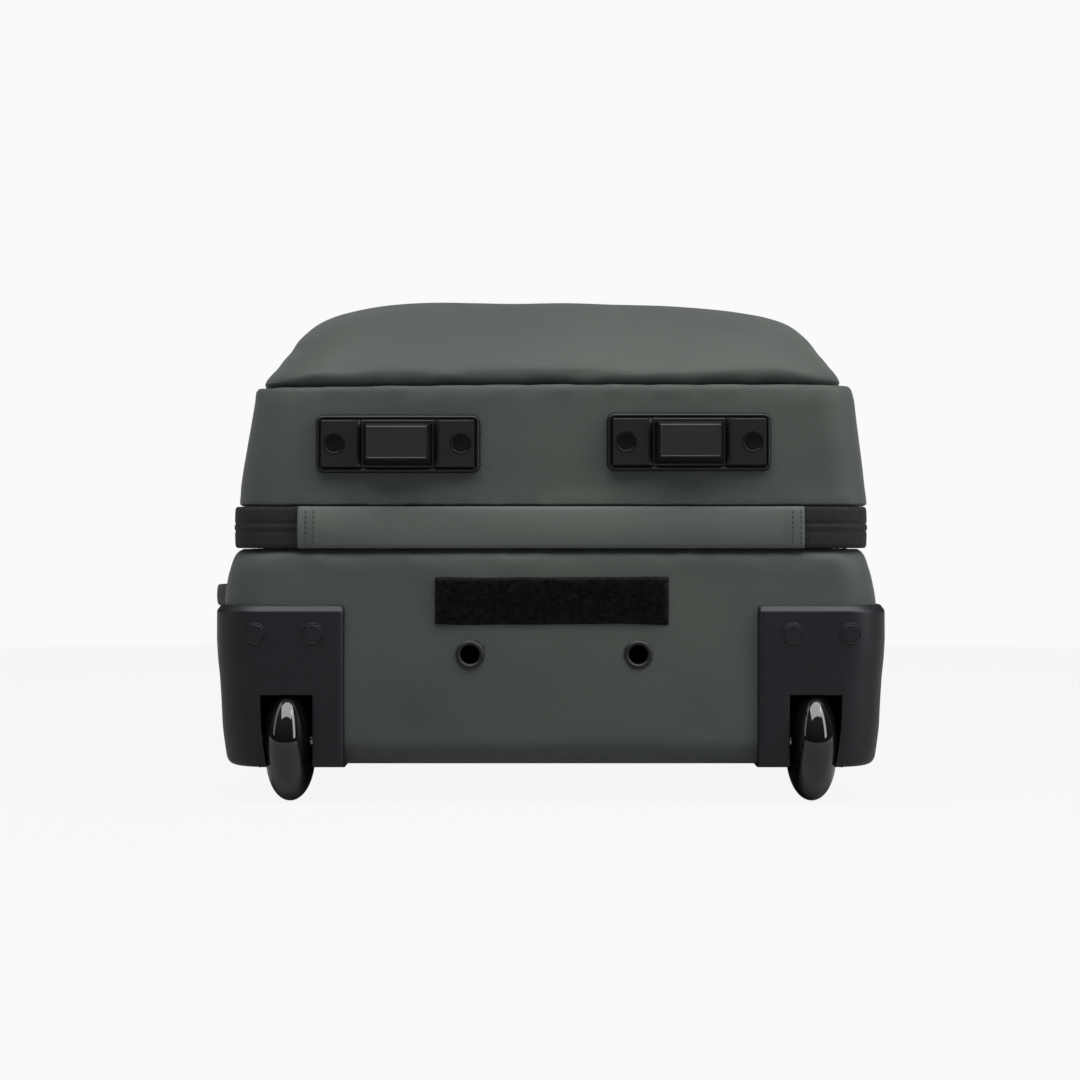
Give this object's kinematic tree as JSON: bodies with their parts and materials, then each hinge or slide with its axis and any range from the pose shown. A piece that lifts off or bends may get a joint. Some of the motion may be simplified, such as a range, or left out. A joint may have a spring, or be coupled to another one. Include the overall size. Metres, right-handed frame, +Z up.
{
  "type": "wheeled backpack",
  "caption": "Soft cabin backpack with corner wheels, stand feet, a telescopic pull handle and shoulder straps, lying on its back.",
  "frame": {"origin": "middle of the bag's bounding box, on the floor under the wheels", "axes": "+X across the bag to its right as the base end is seen, +Y along the bag from the base end to the top end, +Z up, which is the bag's front"},
  "size_m": [0.3866, 0.5548, 0.2772],
  "materials": {
    "coated_fabric": "matt coated polyester twill, dark grey-green",
    "black_plastic": "fine-grained black moulding",
    "black_webbing": "woven black polyamide",
    "loop_pile": "black loop pile",
    "gloss_tread": "glossy black cast polyurethane",
    "gloss_plastic": "glossy black",
    "black_metal": "glossy black enamel",
    "steel": "bright",
    "aluminium": "satin anodised",
    "air_mesh": "black spacer mesh over foam"
  },
  "bodies": {
    "bag": {"back_shell": "coated_fabric", "base_gusset": "coated_fabric", "zip_band": "black_webbing", "main_body": "coated_fabric", "front_pocket": "coated_fabric", "front_zip": "black_webbing", "front_zip_slider": "black_metal", "front_zip_pull": "black_plastic", "zip_slider_left": "black_metal", "zip_slider_right": "black_metal", "zip_pull_left": "black_plastic", "zip_pull_right": "black_plastic", "loop_patch": "loop_pile", "eyelet_left": "black_metal", "eyelet_right": "black_metal", "stand_foot_left": "black_plastic", "stand_foot_right": "black_plastic", "foot_rivet_left_0": "gloss_plastic", "foot_rivet_left_1": "gloss_plastic", "foot_rivet_right_0": "gloss_plastic", "foot_rivet_right_1": "gloss_plastic", "wheel_housing_left": "black_plastic", "wheel_housing_right": "black_plastic", "housing_rivet_left_0": "black_plastic", "housing_rivet_left_1": "black_plastic", "housing_rivet_right_0": "black_plastic", "housing_rivet_right_1": "black_plastic", "axle_left": "steel", "axle_right": "steel", "handle_cup": "black_plastic", "tube_foot": "black_plastic", "outer_tube_left": "aluminium", "outer_tube_right": "aluminium", "back_pad": "air_mesh", "shoulder_strap_left": "air_mesh", "shoulder_strap_right": "air_mesh", "strap_adjuster_left": "black_plastic", "strap_adjuster_right": "black_plastic", "strap_webbing_left": "black_webbing", "strap_webbing_right": "black_webbing", "grab_handle": "black_webbing", "side_handle": "black_webbing"},
    "wheel_left": {"tread_left": "gloss_tread", "wheel_core_left": "black_plastic"},
    "wheel_right": {"tread_right": "gloss_tread", "wheel_core_right": "black_plastic"},
    "handle_middle": {"middle_tube_left": "aluminium", "middle_tube_right": "aluminium"},
    "handle_top": {"inner_tube_left": "aluminium", "inner_tube_right": "aluminium", "grip": "black_plastic"},
    "handle_button": {"grip_button": "black_plastic"}
  },
  "joints": [
    {"name": "wheel_left_spin", "type": "hinge", "parent": "bag", "child": "wheel_left", "pos_m": [-0.12375, -0.2454, 0.032], "axis": [1, 0, 0], "continuous": true},
    {"name": "wheel_right_spin", "type": "hinge", "parent": "bag", "child": "wheel_right", "pos_m": [0.15385, -0.2454, 0.032], "axis": [1, 0, 0], "continuous": true},
    {"name": "handle_stage_1", "type": "slide", "parent": "bag", "child": "handle_middle", "axis": [0, 1, 0], "range_m": [0, 0.24]},
    {"name": "handle_stage_2", "type": "slide", "parent": "handle_middle", "child": "handle_top", "axis": [0, 1, 0], "range_m": [0, 0.24]},
    {"name": "button_press", "type": "slide", "parent": "handle_top", "child": "handle_button", "axis": [0, -1, 0], "range_m": [0, 0.003], "stiffness_N_per_m": 400, "springref_m": -0.002}
  ]
}
